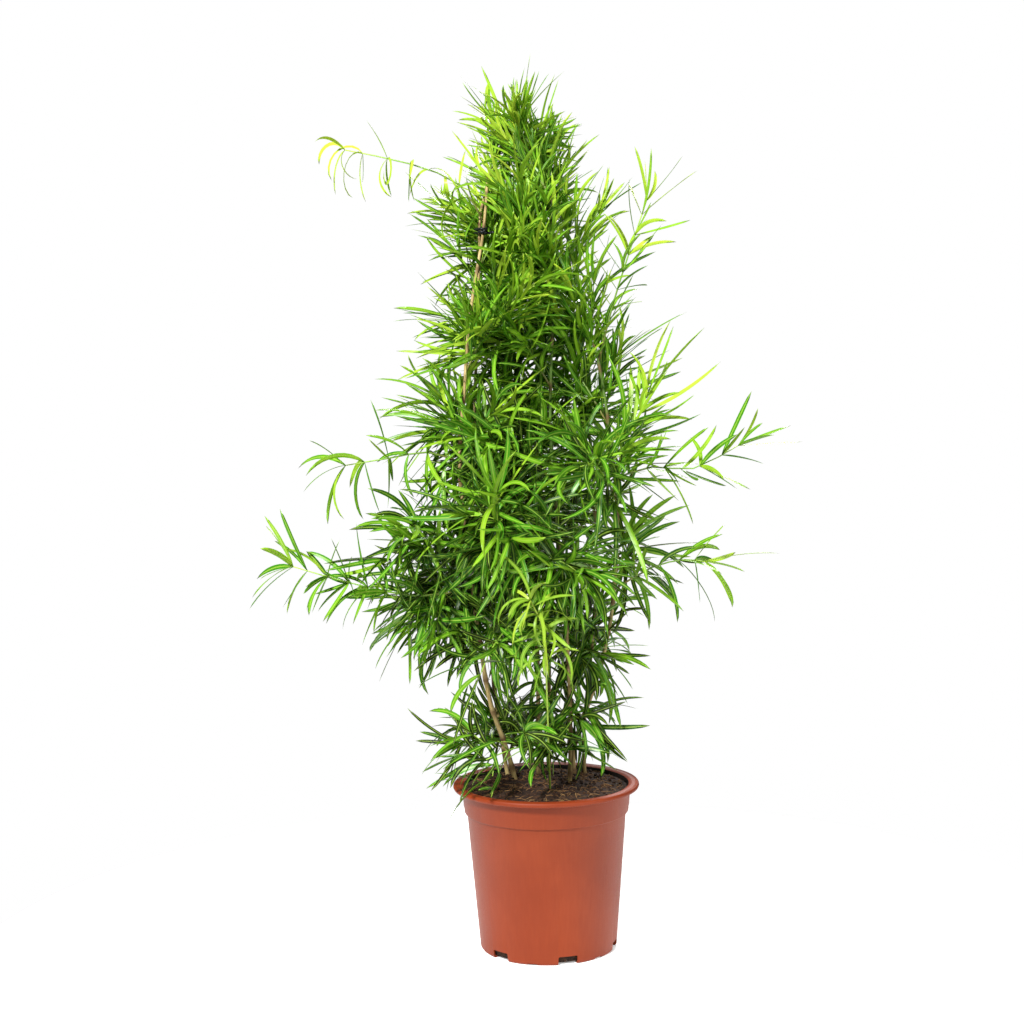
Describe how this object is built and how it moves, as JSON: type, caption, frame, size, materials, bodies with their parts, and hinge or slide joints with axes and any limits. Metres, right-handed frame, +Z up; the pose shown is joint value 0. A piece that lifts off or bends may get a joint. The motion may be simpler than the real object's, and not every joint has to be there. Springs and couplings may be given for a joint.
{
  "type": "potted sicklethorn asparagus",
  "caption": "Tall climbing foliage plant with clustered narrow sickle-shaped cladodes on woody canes, standing in a round plastic nursery pot filled with peat.",
  "frame": {"origin": "the middle of the flat underside of the pot", "axes": "+Z up along the pot's axis, -Y towards the front of the plant, +X to its right seen from the front"},
  "size_m": [0.5465, 0.4194, 0.8946],
  "materials": {
    "pot": "moulded polypropylene, terracotta coloured, satin",
    "soil": null,
    "tie": "black soft plastic plant tie",
    "bark": "pale tan woody stem with darker joints, dry",
    "leaf": null,
    "young_leaf": null
  },
  "bodies": {
    "root": {"pot": "pot", "soil": "soil", "plant_tie": "tie", "cane_left": "bark", "cane_right": "bark", "cane_twin": "bark", "cane_centre": "bark", "cane_back": "bark", "cane_left_back": "bark", "cane_front": "bark", "spray_left_1": "leaf", "spray_left_2": "leaf", "spray_left_3": "leaf", "spray_left_4": "leaf", "spray_left_5": "leaf", "spray_left_6": "leaf", "spray_left_7": "leaf", "spray_right_1": "leaf", "spray_right_2": "leaf", "spray_right_3": "leaf", "spray_right_4": "leaf", "spray_right_5": "leaf", "spray_right_6": "leaf", "spray_twin_1": "leaf", "spray_twin_2": "leaf", "spray_twin_3": "leaf", "spray_twin_4": "leaf", "spray_twin_5": "leaf", "spray_centre_1": "leaf", "spray_centre_2": "leaf", "spray_centre_3": "leaf", "spray_centre_4": "leaf", "spray_centre_5": "leaf", "spray_centre_6": "leaf", "spray_back_1": "leaf", "spray_back_2": "leaf", "spray_back_3": "leaf", "spray_back_4": "leaf", "spray_back_5": "leaf", "spray_back_6": "leaf", "spray_left_back_1": "leaf", "spray_left_back_2": "leaf", "spray_left_back_3": "leaf", "spray_left_back_4": "leaf", "spray_left_back_5": "leaf", "spray_front_1": "leaf", "spray_front_2": "leaf", "spray_front_3": "leaf", "spray_front_4": "leaf", "spray_front_5": "leaf", "spray_front_6": "leaf", "spray_front_7": "leaf", "top_left_shoot": "leaf", "left_shoot": "leaf", "far_left_shoot": "leaf", "right_shoot": "leaf", "upper_right_shoot": "leaf", "top_right_shoot": "leaf", "low_right_shoot": "leaf", "young_shoot": "young_leaf"}
  },
  "joints": []
}
